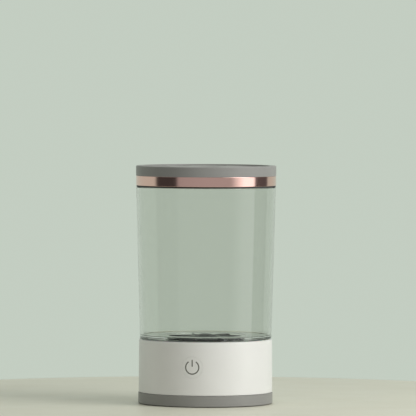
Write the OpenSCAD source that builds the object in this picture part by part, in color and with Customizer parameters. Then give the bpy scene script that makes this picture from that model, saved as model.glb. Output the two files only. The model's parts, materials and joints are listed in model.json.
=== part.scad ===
// Electric brush cleaner. A battery base turns a magnet under a lift-off clear cup, the magnet turns
// a bladed impeller in the cup's floor, and the openings of a lift-off lid hold brushes upright by
// their handles between soft petals.
// Millimetres, +Z up, origin at the centre of the footprint on the table. The power button faces -Y.

/* [Base] */
// Diameter of the grey bottom cover
cover_d = 95.9; // [95.7:0.1:96.6]
// Height of the bottom cover's upper edge
cover_top = 8.1; // [7.6:0.1:8.4]
// Diameter of the white housing at its lower edge
housing_low_d = 95.4; // [95:0.1:95.6]
// Diameter of the white housing at its upper edge
housing_top_d = 95; // [94.8:0.1:95.2]
// Height of the white housing's upper edge
housing_top = 45.9; // [45.5:0.1:49]
// Wall of the white housing
housing_wall = 2.1; // [2:0.1:2.2]
// How far the rubber feet stand out under the bottom cover
foot_gap = 0.4; // [0.3:0.1:1]

/* [Cup] */
// Outer diameter of the clear cup where it meets the base
cup_low_d = 93.8; // [93.6:0.1:94.4]
// Outer diameter of the clear cup just below the lid
cup_top_d = 99.8; // [99.4:0.1:100]
// Height of the shoulder that carries the lid
cup_top = 154.3; // [130:0.1:180]
// Wall of the clear cup
cup_wall = 2; // [1.6:0.1:2.1]
// Diameter of the well in the cup's floor
well_d = 57; // [56:0.5:60]

/* [Lid] */
// Diameter of the lid
lid_d = 100; // [100:0.1:101]
// Height of the metal trim ring
ring_h = 6.9; // [6.6:0.1:8]
// Height of the grey lid cover
lid_cover_h = 7.2; // [6.8:0.1:9]
// Number of brush openings in the outer row
grip_count = 8; // [6:1:8]
// Diameter of the circle through the outer row of openings
grip_pitch_d = 69; // [67:0.5:69]
// Diameter of an outer opening in the lid cover
grip_hole_d = 17; // [14:0.5:17]
// Diameter of the centre opening in the lid cover
centre_hole_d = 20; // [16:0.5:20]
// Diameter left free by the petals of an outer opening
grip_d = 6.4; // [6.4:0.1:7]
// Diameter left free by the petals of the centre opening
centre_grip_d = 8.8; // [8.8:0.1:9.6]
// Thickness of the petal sheet
petal_t = 1.4; // [1:0.1:1.6]

/* [Impeller] */
// Diameter of the impeller's scalloped rim
impeller_d = 55; // [50:0.5:55]
// Number of blades
blade_count = 6; // [3:1:8]
// Number of magnets in the impeller and in the carrier under it
magnet_count = 4; // [2:2:4]

/* [Power button] */
// Diameter of the power button
button_d = 15; // [14:0.1:15.4]
// Height of the button's centre
button_z = 28.4; // [26:0.1:28.4]
// Gap around the button
button_gap = 0.08; // [0.06:0.01:0.2]
// Radius of the power symbol's ring, at the middle of its line
symbol_r = 4.7; // [4:0.1:5]
// Width of the power symbol's line
symbol_line = 0.9; // [0.7:0.05:1.1]

/* [Motor] */
// Diameter of the motor's can
motor_d = 24.4; // [24:0.1:24.6]
// Diameter of the motor's shaft
shaft_d = 2; // [1.5:0.1:2]

/* [Hidden] */
$fn = 96;
eps = 0.5; // how far a cutting tool runs past the face that it cuts

// Base: radii, and heights counted from the cover's floor or from the housing's upper edge.
cover_r = cover_d / 2;
cover_floor = 3;
cover_edge_r = 0.5;
housing_low_r = housing_low_d / 2;
housing_top_r = housing_top_d / 2;
housing_in_r = housing_top_r - housing_wall;
lip_r = housing_in_r - 0.2;
lip_wall = 1.5;
lip_top = cover_top + 2.5;
ledge_top = housing_top - 6.9;
boss_pitch_r = 40;
boss_r = 3.2;
foot_r = 5;
foot_h = 2;
foot_pitch_r = 38;
screw_r = 1.25;
screw_hole_r = 1.3;
clear_hole_r = 1.6;
head_r = 2.6;
cover_head_z = 2.2;

deck_r = housing_in_r - 0.3;
deck_top = housing_top - 2.5;
deck_under = deck_top - 1.5;
deck_rim_under = deck_under + 1.8;
groove_floor = housing_top - 5.5;
groove_in_r = 31.6;
groove_out_r = 34.4;
deck_wall = 1.4;
key_w = 3;
gasket_h = 0.4;
seat_inset = 0.5; // from the cup's side to the gasket that it stands on
seat_w = 1.5;

// Drive under the deck.
bracket_top = deck_under - 8.5;
bracket_t = 1.6;
bracket_pitch_r = 26;
can_top = bracket_top - bracket_t;
can_bottom = can_top - 22;
can_r = motor_d / 2;
can_wall = 0.8;
motor_screw_pitch_r = 8;
bearing_r = 3.1;
shaft_r = shaft_d / 2;
running_gap = 0.05;
armature_z = can_bottom + 5.5;
armature_h = 12;
armature_r = 9;
carrier_r = 17;
carrier_top = deck_under - 0.5;
carrier_t = 3.8;
magnet_r = 4;
magnet_pitch_r = 11.5;
drive_magnet_h = 3;
impeller_magnet_h = 1.6;

// Cup and impeller.
cup_foot = housing_top + gasket_h;
cup_under = cup_foot - 2.6;
cup_floor = cup_foot + 2.6;
cup_low_r = cup_low_d / 2;
cup_top_r = cup_top_d / 2;
spigot_in_r = groove_in_r + 0.4;
spigot_out_r = groove_out_r - 0.4;
neck_in_r = cup_top_r - cup_wall;
neck_out_r = neck_in_r + 1;
neck_h = 5.9;
well_r = well_d / 2;
well_floor = cup_foot - 1;
floor_r = 0.6;
spindle_r = 1.5;
rotor_r = carrier_r;
rotor_z = cup_foot;
rotor_top = rotor_z + 2;
rim_t = 1.6;
blade_top = rotor_top + 0.4;
hub_r = 7.6;
hub_top = cup_floor + 1.2;
hub_under = cup_floor + 0.25;
plate_z = rotor_z - 0.6;
bushing_r = 3;
bushing_top = rotor_z + 1.6;

// Lid, counted up from the cup's shoulder.
lid_gap = 1.3;
lid_r = lid_d / 2;
ring_in_r = lid_r - 0.8;
ring_bevel = 0.35;
rim_clear = 0.3; // between the ring's gasket and the cup's shoulder
plug_in_r = 43.6;
plug_r = 45.4;
seal_r = neck_in_r - 0.3;
seal_lip = 0.4;
ring_z = cup_top + lid_gap;
lid_cover_z = ring_z + ring_h;
lid_top = lid_cover_z + lid_cover_h;
seal_top = cup_top + neck_h + seal_lip;
petal_z = lid_cover_z + 1.8;
petal_top = petal_z + petal_t;
carrier_plate_z = lid_cover_z - 0.4;
plate_r = 46.2;
lid_edge_r = 0.7;
dish_depth = 0.9;
dish_draft = 0.15;
dish_r = lid_r - 4.6;
grip_pitch_r = grip_pitch_d / 2;
lid_screw_pitch_r = 22;
lid_screw_a = 22.5;
slit_w = 0.5;

// Power button.
button_r = button_d / 2;
button_tube_y = -42.5;
flange_r = button_r + 2;
plunger_r = 1.77;
switch_board_y = -35.6;
switch_board_t = 1.2;
switch_front_y = -39.1;

// Boards, battery and USB port.
board_z = 12;
board_t = 1.6;
board_top = board_z + board_t;
board_min = [-14, 14.5];
board_max = [20, 38];
board_holes = [[-10.5, 18], [16.5, 18], [16.5, 34.5], [-10.5, 34.5]];
usb_z = board_top + 1.6;
usb_mouth_y = 46;
cell_x = -25.5;
cell_z = 14;
cell_r = 9.1;
cell_half = 17.5;
wire_r = 0.5;

// Points along an arc, for rounded corners of outlines.
function arc(cx, cy, r, a0, a1, n = 6) =
    [for (i = [0:n]) let(a = a0 + (a1 - a0) * i / n) [cx + r * cos(a), cy + r * sin(a)]];

// A disc between two heights.
module disc(r, z0, z1) {
    translate([0, 0, z0]) cylinder(h = z1 - z0, r = r);
}

// A ring between two heights.
module ring(r_out, r_in, z0, z1) {
    difference() {
        disc(r_out, z0, z1);
        disc(r_in, z0 - eps, z1 + eps);
    }
}

// A box from its lowest to its highest corner.
module span(low, high) {
    translate(low) cube(high - low);
}

// A round bar along Y, centred on the given height.
module bar_y(r, y0, y1, z = 0) {
    translate([0, y0, z]) rotate([-90, 0, 0]) cylinder(h = y1 - y0, r = r);
}

// A bar along Y with flat top and bottom and round sides.
module flat_bar_y(w, h, y0, y1, z) {
    for (side = [-1, 1]) translate([side * (w - h) / 2, 0, 0]) bar_y(h / 2, y0, y1, z);
    span([-(w - h) / 2, y0, z - h / 2], [(w - h) / 2, y1, z + h / 2]);
}

// Copies its children around the axis.
module around(count, pitch_r, start = 0) {
    for (i = [0:count - 1]) rotate([0, 0, start + i * 360 / count]) translate([pitch_r, 0, 0]) children();
}

// A screw, head down, with a cross recess in its head.
module screw(r, head, head_h, z_head, z_tip) {
    difference() {
        union() {
            disc(head, z_head - head_h, z_head);
            disc(r, z_head - eps, z_tip);
        }
        for (a = [0, 90]) rotate([0, 0, a])
            span([-head * 0.6, -0.3, z_head - head_h - eps], [head * 0.6, 0.3, z_head - head_h * 0.4]);
    }
}

// A wire through a list of points, its bends filled by balls.
module wire(points) {
    for (i = [1:len(points) - 1]) {
        run = points[i] - points[i - 1];
        flat = norm([run[0], run[1]]);
        translate(points[i - 1]) rotate([0, atan2(flat, run[2]), atan2(run[1], run[0])])
            cylinder(h = norm(run), r = wire_r);
        if (i < len(points) - 1) translate(points[i]) sphere(r = wire_r * 1.2);
    }
}

// The outer surface of the housing as a solid, shrunk by inset.
module housing_skin(inset = 0) {
    translate([0, 0, cover_top]) cylinder(
        h = housing_top - cover_top, r1 = housing_low_r - inset, r2 = housing_top_r - inset);
}

// ---- base ----

module rubber_foot(i) {
    color("dimgray") rotate([0, 0, 90 * (i - 1)]) translate([foot_pitch_r, 0, 0])
        rotate_extrude() polygon([[0, 0], [foot_r - 0.4, 0], [foot_r, 0.4], [foot_r, foot_h], [0, foot_h]]);
}

module cover_shell() {
    rotate_extrude() polygon(concat(
        [[0, foot_gap]],
        arc(cover_r - cover_edge_r, foot_gap + cover_edge_r, cover_edge_r, -90, 0),
        [[cover_r, cover_top], [lip_r, cover_top], [lip_r, lip_top], [lip_r - lip_wall, lip_top],
         [lip_r - lip_wall, cover_floor], [0, cover_floor]]
    ));
}

module switch_upright() {
    difference() {
        span([5.9, switch_board_y - 1.5, cover_floor - eps], [8.9, switch_board_y + 2.7, button_z - 2.6]);
        span([5, switch_board_y - 0.05, button_z - 7],
             [10, switch_board_y + switch_board_t + 0.05, button_z]);
    }
}

module bottom_cover() {
    color("gray") difference() {
        union() {
            cover_shell();
            for (p = board_holes) translate([p[0], p[1], 0]) disc(2.5, cover_floor - eps, board_z);
            switch_upright();
            mirror([1, 0, 0]) switch_upright();
        }
        around(4, foot_pitch_r) disc(foot_r + 0.1, -eps, foot_h);
        around(4, boss_pitch_r, 45) disc(head_r + 0.4, -eps, cover_head_z);
        around(4, boss_pitch_r, 45) disc(clear_hole_r, -eps, cover_floor + eps);
        for (p = board_holes) translate([p[0], p[1], 0]) disc(0.9, 6, board_z + eps);
    }
}

module housing_screws() {
    color("silver") around(4, boss_pitch_r, 45) screw(screw_r, head_r, 1.4, cover_head_z, 14);
}

module housing_wall_shape() {
    rotate_extrude() polygon([
        [housing_in_r, cover_top], [housing_low_r - 0.3, cover_top], [housing_low_r, cover_top + 0.3],
        [housing_top_r, housing_top - 0.5], [housing_top_r - 0.5, housing_top],
        [housing_in_r, housing_top], [housing_in_r, ledge_top], [housing_in_r - 2.3, ledge_top],
        [housing_in_r - 2.3, ledge_top - 1], [housing_in_r, ledge_top - 3.3]
    ]);
}

module housing() {
    color("whitesmoke") difference() {
        union() {
            housing_wall_shape();
            around(4, boss_pitch_r, 45) {
                disc(boss_r, cover_floor, ledge_top);
                span([0, -1, lip_top + 0.2], [housing_in_r - boss_pitch_r + 1, 1, ledge_top]);
            }
            bar_y(button_r + 3, -housing_in_r - 0.5, button_tube_y, button_z);
        }
        around(4, boss_pitch_r, 45) disc(screw_hole_r, cover_floor - eps, 15);
        bar_y(button_r + button_gap, -cover_r - 2, button_tube_y + eps, button_z);
        flat_bar_y(9.6, 3.8, housing_in_r - 3, cover_r + 2, usb_z);
        flat_bar_y(12.6, 6.4, housing_top_r - 0.5, cover_r + 2, usb_z);
    }
}

module deck() {
    color("white") difference() {
        union() {
            rotate_extrude() polygon([
                [0, deck_under], [groove_in_r - deck_wall, deck_under],
                [groove_in_r - deck_wall, groove_floor - deck_wall],
                [groove_out_r + deck_wall, groove_floor - deck_wall],
                [groove_out_r + deck_wall, deck_rim_under], [deck_r - deck_wall, deck_rim_under],
                [deck_r - deck_wall, ledge_top], [deck_r, ledge_top],
                [deck_r, housing_top - 0.5], [groove_out_r, housing_top - 0.5],
                [groove_out_r, groove_floor], [groove_in_r, groove_floor],
                [groove_in_r, deck_top], [0, deck_top]
            ]);
            around(3, 0, 90) span([groove_in_r - 0.3, -key_w / 2, groove_floor - 0.3],
                                  [groove_out_r + 0.3, key_w / 2, groove_floor + 2.4]);
            around(3, bracket_pitch_r, 90) disc(3, bracket_top, deck_under + eps);
        }
        around(3, bracket_pitch_r, 90) disc(screw_hole_r, bracket_top - eps, deck_under - 1.2);
    }
}

module seat_gasket() {
    color("black") ring(cup_low_r - seat_inset, cup_low_r - seat_inset - seat_w, housing_top, cup_foot);
}

// ---- motor, held under the deck ----

module motor_can() {
    color("silver") difference() {
        disc(can_r, can_bottom, can_top);
        disc(can_r - can_wall, can_bottom - eps, can_top - 1);
        disc(bearing_r + running_gap, can_top - 2, can_top + eps);
        around(2, motor_screw_pitch_r) disc(0.85, can_top - 2, can_top + eps);
    }
}

module motor_end_cap() {
    color("black") difference() {
        union() {
            disc(can_r - can_wall - running_gap, can_bottom, can_bottom + 1.6);
            disc(4.5, can_bottom - 0.6, can_bottom + 2.4);
        }
        disc(bearing_r + running_gap, can_bottom - 1, can_bottom + 3);
    }
}

module motor_terminals() {
    color("goldenrod") around(2, motor_screw_pitch_r, 90)
        span([-0.25, -1, can_bottom - 3], [0.25, 1, can_bottom]);
}

module stator_magnet(i) {
    color("darkslategray") rotate([0, 0, 180 * i - 65]) rotate_extrude(angle = 130)
        translate([armature_r + 0.5, armature_z - 1.5]) square([can_r - can_wall - armature_r - 0.55, 15]);
}

module front_bearing() {
    color("goldenrod") ring(bearing_r, shaft_r + running_gap, can_top - 2.4, bracket_top - 0.2);
}

module rear_bearing() {
    color("goldenrod") ring(bearing_r, shaft_r + running_gap, can_bottom - 0.6, can_bottom + 2.4);
}

module motor_bracket() {
    color("lightgray") difference() {
        disc(bracket_pitch_r + 3, can_top, bracket_top);
        disc(bearing_r + 0.2, can_top - eps, bracket_top + eps);
        around(3, bracket_pitch_r, 90) disc(clear_hole_r, can_top - eps, bracket_top + eps);
        around(2, motor_screw_pitch_r) disc(0.95, can_top - eps, bracket_top + eps);
        around(3, bracket_pitch_r + 4, 30) disc(10, can_top - eps, bracket_top + eps);
    }
}

module motor_screws() {
    color("silver") around(2, motor_screw_pitch_r) difference() {
        union() {
            disc(1.6, bracket_top, bracket_top + 1);
            disc(0.8, can_top - 1.8, bracket_top + eps);
        }
        span([-1.1, -0.2, bracket_top + 0.5], [1.1, 0.2, bracket_top + 2]);
    }
}

module bracket_screws() {
    color("silver") around(3, bracket_pitch_r, 90) screw(screw_r, head_r, 1.6, can_top, deck_under - 1.7);
}

// ---- electrics on the bottom cover ----

module battery_cell() {
    color("steelblue") translate([cell_x, 0, 0]) {
        bar_y(cell_r, -cell_half, cell_half, cell_z);
        bar_y(3, cell_half - eps, cell_half + 1, cell_z);
    }
}

module battery_tray() {
    color("dimgray") translate([cell_x, 0, 0]) difference() {
        span([-10, -cell_half - 2, cover_floor], [10, cell_half + 2.4, cell_z - 4]);
        bar_y(cell_r + 0.05, -cell_half - 0.1, cell_half + 1.2, cell_z);
    }
}

module battery_leads() {
    side = board_min[0] - 0.2;
    z = board_top + 2;
    plug_x = -12;
    color("firebrick") {
        wire([[cell_x, cell_half + 1, z], [cell_x, 26, z], [plug_x, 26, z]]);
        wire([[cell_x, -cell_half, z], [cell_x, -21.5, z], [side, -21.5, z], [side, 28, z], [plug_x, 28, z]]);
    }
}

module motor_leads() {
    z = can_bottom - 2;
    tab = motor_screw_pitch_r + 0.25;
    color("firebrick") {
        wire([[0, tab, z], [0, 20, z], [0, 20, board_z]]);
        wire([[0, -tab, z], [0, -11, z], [5, -11, z], [5, 22, z], [5, 22, board_z]]);
    }
}

module switch_leads() {
    back = switch_board_y + switch_board_t;
    color("dimgray") for (x = [-3, 3])
        wire([[x, back, 24], [x, back + 4.4, 24], [x, back + 4.4, 5], [x, 24, 5], [x, 24, board_z]]);
}

module main_board() {
    color("seagreen") difference() {
        union() {
            span([board_min[0], board_min[1], board_z], [board_max[0], board_max[1], board_top]);
            span([-6, board_max[1] - eps, board_z], [6, usb_mouth_y - 3, board_top]);
        }
        for (p = board_holes) translate([p[0], p[1], 0]) disc(1.1, board_z - eps, board_top + eps);
    }
}

module board_components() {
    // Each chip or connector: centre, then width, depth and height.
    chips = [[[1, 27], [7, 7, 1.2]], [[9.5, 20], [5, 4, 1.1]], [[-3, 19], [6, 5, 2.6]],
             [[-9.5, 27], [5, 5, 4]], [[8, 34], [3.2, 1.6, 0.8]], [[-3, 34.5], [2, 1.2, 0.7]]];
    color("black") {
        for (c = chips)
            span([c[0][0] - c[1][0] / 2, c[0][1] - c[1][1] / 2, board_top],
                 [c[0][0] + c[1][0] / 2, c[0][1] + c[1][1] / 2, board_top + c[1][2]]);
        translate([12, 27, 0]) disc(2.5, board_top, board_top + 6);
    }
}

module board_screws() {
    color("silver") for (p = board_holes) translate([p[0], p[1], 0]) difference() {
        union() {
            disc(1.7, board_top, board_top + 1.2);
            disc(0.85, 7, board_top + eps);
        }
        for (a = [0, 90]) rotate([0, 0, a]) span([-1.1, -0.2, board_top + 0.5], [1.1, 0.2, board_top + 2]);
    }
}

module usb_port() {
    color("silver") difference() {
        flat_bar_y(8.94, 3.2, usb_mouth_y - 7.35, usb_mouth_y, usb_z);
        flat_bar_y(8.34, 2.6, usb_mouth_y - 6.5, usb_mouth_y + eps, usb_z);
    }
}

module usb_tongue() {
    color("black") span([-3.35, usb_mouth_y - 6.5, usb_z - 0.35], [3.35, usb_mouth_y - 1, usb_z + 0.35]);
}

module switch_board() {
    color("seagreen") span([-8, switch_board_y, button_z - 7],
                           [8, switch_board_y + switch_board_t, button_z + 7]);
}

module tact_switch() {
    color("black") difference() {
        span([-3, switch_front_y, button_z - 3], [3, switch_board_y, button_z + 3]);
        bar_y(plunger_r + 0.08, switch_front_y - eps, switch_board_y - 1.2, button_z);
    }
}

// ---- drive: everything on the motor's shaft ----

module motor_shaft() {
    color("silver") disc(shaft_r, can_bottom - 0.6, carrier_top - 2.1);
}

module armature() {
    color("slategray") difference() {
        disc(armature_r, armature_z, armature_z + armature_h);
        disc(shaft_r + 0.02, armature_z - eps, armature_z + armature_h + eps);
        around(5, 0) {
            translate([5.6, 0, 0]) disc(1.9, armature_z - eps, armature_z + armature_h + eps);
            span([5.6, -0.6, armature_z - eps], [armature_r + 1, 0.6, armature_z + armature_h + eps]);
        }
    }
}

module armature_windings() {
    color("peru") for (z = [armature_z - 1.5, armature_z + armature_h])
        rotate_extrude() polygon([[3.6, z], [7.9, z], [8.3, z + 0.4], [8.3, z + 1.1], [7.9, z + 1.5],
                                  [3.6, z + 1.5]]);
}

module commutator() {
    color("peru") difference() {
        disc(3.4, can_bottom + 2.9, can_bottom + 5);
        disc(shaft_r + 0.02, can_bottom + 2, can_bottom + 6);
        around(5, 0) span([2.6, -0.15, can_bottom + 2], [4, 0.15, can_bottom + 6]);
    }
}

module magnet_carrier() {
    color("dimgray") difference() {
        union() {
            disc(carrier_r, carrier_top - carrier_t, carrier_top);
            disc(4, carrier_top - carrier_t - 3.3, carrier_top - carrier_t + eps);
        }
        disc(shaft_r + 0.02, carrier_top - carrier_t - 4, carrier_top - 2.1);
        around(magnet_count, magnet_pitch_r)
            disc(magnet_r + 0.05, carrier_top - drive_magnet_h, carrier_top + eps);
    }
}

module drive_magnet(i) {
    color("silver") rotate([0, 0, (i - 1) * 360 / magnet_count]) translate([magnet_pitch_r, 0, 0])
        disc(magnet_r, carrier_top - drive_magnet_h, carrier_top);
}

// ---- power button ----

// The symbol's outline as a thick plate that is cut to the housing's curve.
module symbol_plate() {
    gap_a = 38;
    y0 = -cover_r - 1;
    translate([0, 0, button_z]) {
        rotate([90, 0, 0]) translate([0, 0, -y0 - 3]) {
            rotate([0, 0, 90 + gap_a]) rotate_extrude(angle = 360 - 2 * gap_a)
                translate([symbol_r - symbol_line / 2, 0]) square([symbol_line, 3]);
            for (side = [-1, 1]) rotate([0, 0, 90 + side * gap_a]) translate([symbol_r, 0, 0])
                cylinder(h = 3, r = symbol_line / 2);
            for (v = [0.95, 5.05]) translate([0, v, 0]) cylinder(h = 3, r = symbol_line / 2);
            translate([-symbol_line / 2, 0.95, 0]) cube([symbol_line, 4.1, 3]);
        }
    }
}

module power_button() {
    color("white") difference() {
        union() {
            intersection() {
                bar_y(button_r, -cover_r, -42, button_z);
                housing_skin();
            }
            bar_y(flange_r, -42.3, -41.3, button_z);
            bar_y(3, -41.3 - eps, -40.4, button_z);
        }
        difference() {
            symbol_plate();
            housing_skin(0.8);
        }
    }
}

module power_symbol() {
    color("dimgray") intersection() {
        symbol_plate();
        difference() {
            housing_skin(0.05);
            housing_skin(0.8);
        }
    }
}

module switch_plunger() {
    color("ivory") bar_y(plunger_r, -40.4, -37.9, button_z);
}

// ---- cup ----

module cup() {
    color("lightcyan", 0.3) difference() {
        rotate_extrude() polygon(concat(
            [[0, cup_under], [spigot_in_r, cup_under], [spigot_in_r, groove_floor + 0.5],
             [spigot_out_r, groove_floor + 0.5], [spigot_out_r, cup_foot]],
            arc(cup_low_r - 0.5, cup_foot + 0.5, 0.5, -90, 0, 3),
            arc(cup_top_r - 0.3, cup_top - 0.3, 0.3, 0, 90, 3),
            [[neck_out_r, cup_top], [neck_out_r, cup_top + neck_h - 0.3],
             [neck_out_r - 0.3, cup_top + neck_h], [neck_in_r, cup_top + neck_h],
             [neck_in_r, cup_top - 1]],
            arc(cup_low_r - cup_wall - floor_r, cup_floor + floor_r, floor_r, 0, -90),
            arc(well_r + 0.6, cup_floor - 0.6, 0.6, 90, 180, 3),
            [[well_r, well_floor], [0, well_floor]]
        ));
        around(3, 0, 90) span([spigot_in_r - 1, -key_w / 2 - 0.6, groove_floor],
                              [spigot_out_r + 0.2, key_w / 2 + 0.6, groove_floor + 3]);
        disc(spindle_r, well_floor - 0.8, well_floor + eps);
    }
}

module cup_spindle() {
    color("silver") {
        disc(spindle_r, well_floor - 0.8, cup_floor - 0.3);
        rotate_extrude() polygon([[0, cup_floor - 0.5], [spindle_r, cup_floor - 0.5],
                                  [spindle_r - 0.4, cup_floor], [0, cup_floor]]);
        disc(2.6, well_floor, plate_z - 0.1);
    }
}

// ---- impeller ----

// One swept-back blade from the hub to the rim, as an arc about a centre beside it.
module blade() {
    hub_x = hub_r + 0.6;
    tip_x = impeller_d / 2 - 1;
    mid_x = (hub_x + tip_x) / 2;
    bow = 10;
    arc_r = norm([tip_x - mid_x, bow]);
    a0 = atan2(bow, tip_x - mid_x);
    translate([mid_x, -bow, 0]) rotate([0, 0, a0]) rotate_extrude(angle = 180 - 2 * a0)
        translate([arc_r - 0.6, rotor_z + 0.6]) square([1.2, blade_top - rotor_z - 0.6]);
}

module impeller_rotor() {
    scallops = 12;
    color("black") difference() {
        union() {
            disc(rotor_r, rotor_z, rotor_top);
            difference() {
                disc(impeller_d / 2, rotor_z, rotor_z + rim_t);
                around(scallops, impeller_d / 2 + 1.2) disc(2.4, rotor_z - eps, rotor_z + rim_t + eps);
            }
            around(blade_count, 0) blade();
        }
        around(magnet_count, magnet_pitch_r, 45)
            disc(magnet_r + 0.05, rotor_z - eps, rotor_z + impeller_magnet_h);
        disc(bushing_r + 0.05, rotor_z - eps, bushing_top);
        disc(spindle_r + 0.4, rotor_z, rotor_top + eps);
    }
}

module impeller_bushing() {
    color("ivory") ring(bushing_r, spindle_r + running_gap, plate_z, bushing_top);
}

module impeller_base_plate() {
    color("black") ring(rotor_r + 0.2, bushing_r + 0.05, plate_z, rotor_z);
}

module impeller_magnet(i) {
    color("silver") rotate([0, 0, 45 + (i - 1) * 360 / magnet_count]) translate([magnet_pitch_r, 0, 0])
        disc(magnet_r, rotor_z, rotor_z + impeller_magnet_h);
}

module impeller_cap() {
    color("black") rotate_extrude() polygon([
        [spindle_r + 0.4, rotor_top], [hub_r, rotor_top], [hub_r, rotor_top + 0.3],
        [hub_r / 2, hub_top - 0.35], [0, hub_top], [0, hub_under + 0.15], [spindle_r + 0.4, hub_under]
    ]);
}

// ---- lid ----

// Cuts one opening with a bevelled upper edge through the lid cover.
module lid_opening(r) {
    plate_top = lid_top - dish_depth;
    disc(r, petal_top - eps, lid_top + eps);
    translate([0, 0, plate_top - 0.7]) cylinder(h = 1.4, r1 = r, r2 = r + 1.4);
}

module lid_cover() {
    plate_top = lid_top - dish_depth;
    color("gray") difference() {
        rotate_extrude() polygon(concat(
            [[0, petal_top], [plate_r + 0.3, petal_top], [plate_r + 0.3, lid_cover_z],
             [lid_r, lid_cover_z]],
            arc(lid_r - lid_edge_r, lid_top - lid_edge_r, lid_edge_r, 0, 90),
            [[dish_r + dish_draft, lid_top], [dish_r, plate_top], [0, plate_top]]
        ));
        around(grip_count, grip_pitch_r) lid_opening(grip_hole_d / 2);
        lid_opening(centre_hole_d / 2);
        around(4, lid_screw_pitch_r, lid_screw_a) disc(screw_hole_r, petal_top - eps, petal_top + 2.2);
    }
}

// The small round opening of one grip, and the slits that part its petals.
module petal_cut(r, reach, petals) {
    disc(r, petal_z - eps, petal_top + eps);
    around(petals, 0, 90) span([0, -slit_w / 2, petal_z - eps], [reach, slit_w / 2, petal_top + eps]);
}

module petal_sheet() {
    color("dimgray") difference() {
        disc(plate_r, petal_z, petal_top);
        around(grip_count, grip_pitch_r) petal_cut(grip_d / 2, grip_hole_d / 2 - 1, 6);
        petal_cut(centre_grip_d / 2, centre_hole_d / 2 - 1, 8);
        around(4, lid_screw_pitch_r, lid_screw_a) disc(clear_hole_r, petal_z - eps, petal_top + eps);
    }
}

module lid_carrier() {
    color("gray") difference() {
        rotate_extrude() polygon([
            [0, carrier_plate_z], [plug_in_r, carrier_plate_z], [plug_in_r, cup_top + 0.3],
            [plug_r, cup_top + 0.3], [plug_r, seal_top], [ring_in_r - 0.05, seal_top],
            [ring_in_r - 0.05, lid_cover_z], [plate_r, lid_cover_z], [plate_r, petal_z], [0, petal_z]
        ]);
        around(grip_count, grip_pitch_r) disc(grip_hole_d / 2 + 0.3, carrier_plate_z - eps, petal_z + eps);
        disc(centre_hole_d / 2 + 0.3, carrier_plate_z - eps, petal_z + eps);
        around(4, lid_screw_pitch_r, lid_screw_a) disc(clear_hole_r, carrier_plate_z - eps, petal_z + eps);
    }
}

module lid_ring() {
    color("rosybrown") rotate_extrude() polygon([
        [ring_in_r, ring_z], [lid_r - ring_bevel, ring_z], [lid_r, ring_z + ring_bevel],
        [lid_r, lid_cover_z - ring_bevel], [lid_r - ring_bevel, lid_cover_z], [ring_in_r, lid_cover_z]
    ]);
}

module lid_seal() {
    // A sleeve round the carrier's plug, with a lip that lies on the cup's neck.
    color("black") {
        ring(seal_r, plug_r + 0.05, cup_top + 0.1, seal_top);
        ring(neck_out_r, plug_r + 0.05, cup_top + neck_h, seal_top);
    }
}

module rim_gasket() {
    color("black") ring(lid_r - ring_bevel, ring_in_r, cup_top + rim_clear, ring_z);
}

module lid_screws() {
    color("silver") around(4, lid_screw_pitch_r, lid_screw_a)
        screw(screw_r, head_r, 1.6, carrier_plate_z, petal_top + 2);
}

for (i = [1:4]) rubber_foot(i);
bottom_cover();
housing_screws();
housing();
deck();
seat_gasket();
motor_can();
motor_end_cap();
motor_terminals();
for (i = [1:2]) stator_magnet(i);
front_bearing();
rear_bearing();
motor_bracket();
motor_screws();
bracket_screws();
battery_cell();
battery_tray();
battery_leads();
motor_leads();
switch_leads();
main_board();
board_components();
board_screws();
usb_port();
usb_tongue();
switch_board();
tact_switch();
motor_shaft();
armature();
armature_windings();
commutator();
magnet_carrier();
for (i = [1:magnet_count]) drive_magnet(i);
power_button();
power_symbol();
switch_plunger();
cup();
cup_spindle();
impeller_rotor();
impeller_bushing();
impeller_base_plate();
impeller_cap();
for (i = [1:magnet_count]) impeller_magnet(i);
lid_cover();
petal_sheet();
lid_carrier();
lid_ring();
lid_seal();
rim_gasket();
lid_screws();
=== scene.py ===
"""Electric brush cleaner: finished surfaces, materials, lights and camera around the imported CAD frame.

Every length is in metres, in the frame's own axes: +Z up, -Y towards the power button."""

import json
import math

import bmesh
import bpy
from mathutils import Matrix, Quaternion, Vector


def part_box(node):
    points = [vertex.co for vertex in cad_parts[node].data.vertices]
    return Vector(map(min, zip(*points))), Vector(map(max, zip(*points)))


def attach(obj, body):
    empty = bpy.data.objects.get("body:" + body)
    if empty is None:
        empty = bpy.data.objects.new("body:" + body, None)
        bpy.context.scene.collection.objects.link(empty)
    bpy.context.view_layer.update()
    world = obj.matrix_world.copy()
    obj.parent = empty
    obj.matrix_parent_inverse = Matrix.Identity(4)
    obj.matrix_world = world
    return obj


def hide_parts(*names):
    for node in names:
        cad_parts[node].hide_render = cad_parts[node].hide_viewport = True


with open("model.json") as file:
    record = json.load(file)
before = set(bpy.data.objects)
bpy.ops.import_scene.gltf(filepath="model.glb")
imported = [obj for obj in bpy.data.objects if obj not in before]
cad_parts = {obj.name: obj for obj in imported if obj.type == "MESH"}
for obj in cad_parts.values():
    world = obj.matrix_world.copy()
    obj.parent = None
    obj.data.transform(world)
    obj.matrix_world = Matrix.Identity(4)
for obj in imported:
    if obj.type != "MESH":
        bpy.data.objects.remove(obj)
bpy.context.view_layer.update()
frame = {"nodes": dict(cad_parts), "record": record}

MM = 0.001
AXIS_STEPS = 240  # faces round a full turn of a large piece
FINE_STEPS = 360  # and of one whose outer wall shows plainly
SHARP_ANGLE = math.radians(32)  # faces that meet at more than this keep a sharp edge
STRAIGHT_ANGLE = math.radians(178)  # a corner wider open than this isn't rounded


# ---- sizes read from the frame ----


def low_z(node):
    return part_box(node)[0].z


def high_z(node):
    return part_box(node)[1].z


def radius(node):
    """Outer radius of a node that is round about the frame's axis."""
    low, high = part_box(node)
    return max(high.x, -low.x, high.y, -low.y)


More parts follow.
